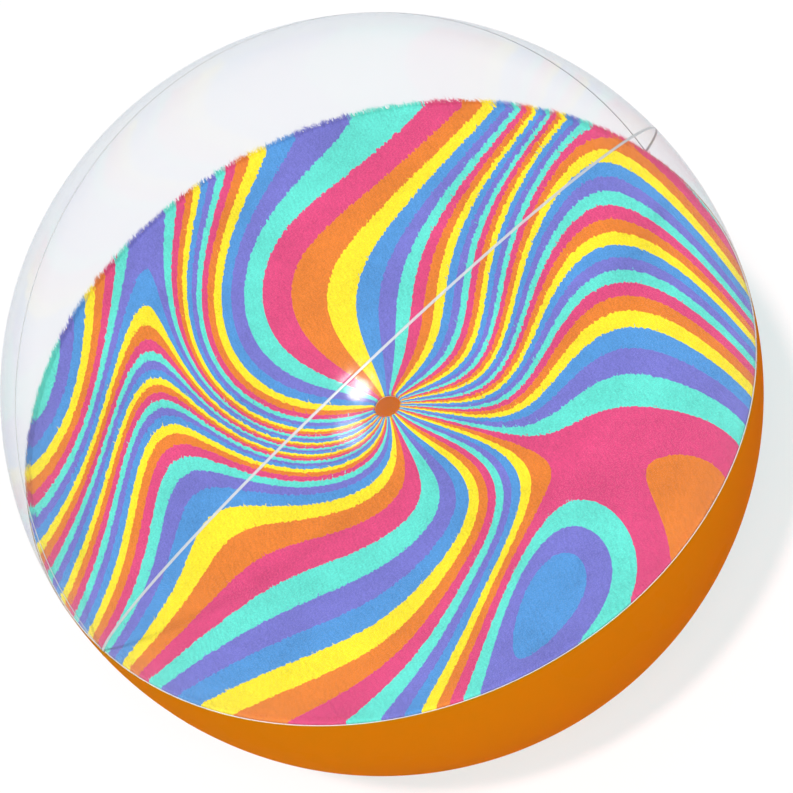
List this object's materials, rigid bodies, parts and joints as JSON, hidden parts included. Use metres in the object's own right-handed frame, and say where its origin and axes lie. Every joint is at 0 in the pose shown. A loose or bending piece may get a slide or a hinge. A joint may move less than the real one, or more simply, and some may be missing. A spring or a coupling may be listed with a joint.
{
  "type": "inflatable beach ball",
  "caption": "Gored inflatable ball, half clear and half opaque, with a printed plush disc across its middle and a push-in safety valve with plug, tether and check flap.",
  "frame": {"origin": "centre of the inflated ball", "axes": "+Z runs through the pole of the clear dome, the X axis runs through the two gore poles, and the printed disc hangs from the seam in the XY plane; the valve is on the +Y side, below the disc"},
  "size_m": [0.58, 0.58, 0.5798],
  "materials": {
    "clear_vinyl": "glossy clear soft sheet",
    "orange_vinyl": "satin, slightly translucent soft sheet",
    "backing_vinyl": "matt white soft sheet",
    "printed_plush": "short pile, printed in bright swirled bands",
    "valve_vinyl": "milky semi-clear moulded soft plastic",
    "valve_film": "thin milky film"
  },
  "bodies": {
    "ball": {"clear_panel_front": "clear_vinyl", "clear_panel_middle": "clear_vinyl", "clear_panel_rear": "clear_vinyl", "orange_panel_front": "orange_vinyl", "orange_panel_middle": "orange_vinyl", "orange_panel_rear": "orange_vinyl", "disc_backing": "backing_vinyl", "plush_disc": "printed_plush", "valve_flange": "valve_vinyl", "valve_web": "valve_vinyl"},
    "stem": {"valve_stem": "valve_vinyl", "plug_tether": "valve_vinyl"},
    "plug": {"valve_plug": "valve_vinyl"},
    "flap": {"check_flap": "valve_film"}
  },
  "joints": [
    {"name": "stem_slide", "type": "slide", "parent": "ball", "child": "stem", "axis": [0, 0.8788, -0.4772], "range_m": [0, 0.012], "deforming": ["valve_web"]},
    {"name": "plug_pull", "type": "slide", "parent": "stem", "child": "plug", "axis": [0, 0.8788, -0.4772], "range_m": [0, 0.012], "deforming": ["plug_tether"]},
    {"name": "flap_hinge", "type": "hinge", "parent": "stem", "child": "flap", "pos_m": [0, 0.23857, -0.13693], "axis": [1, 0, 0], "range_deg": [0, 60], "stiffness_Nm_per_rad": 0.0002}
  ]
}
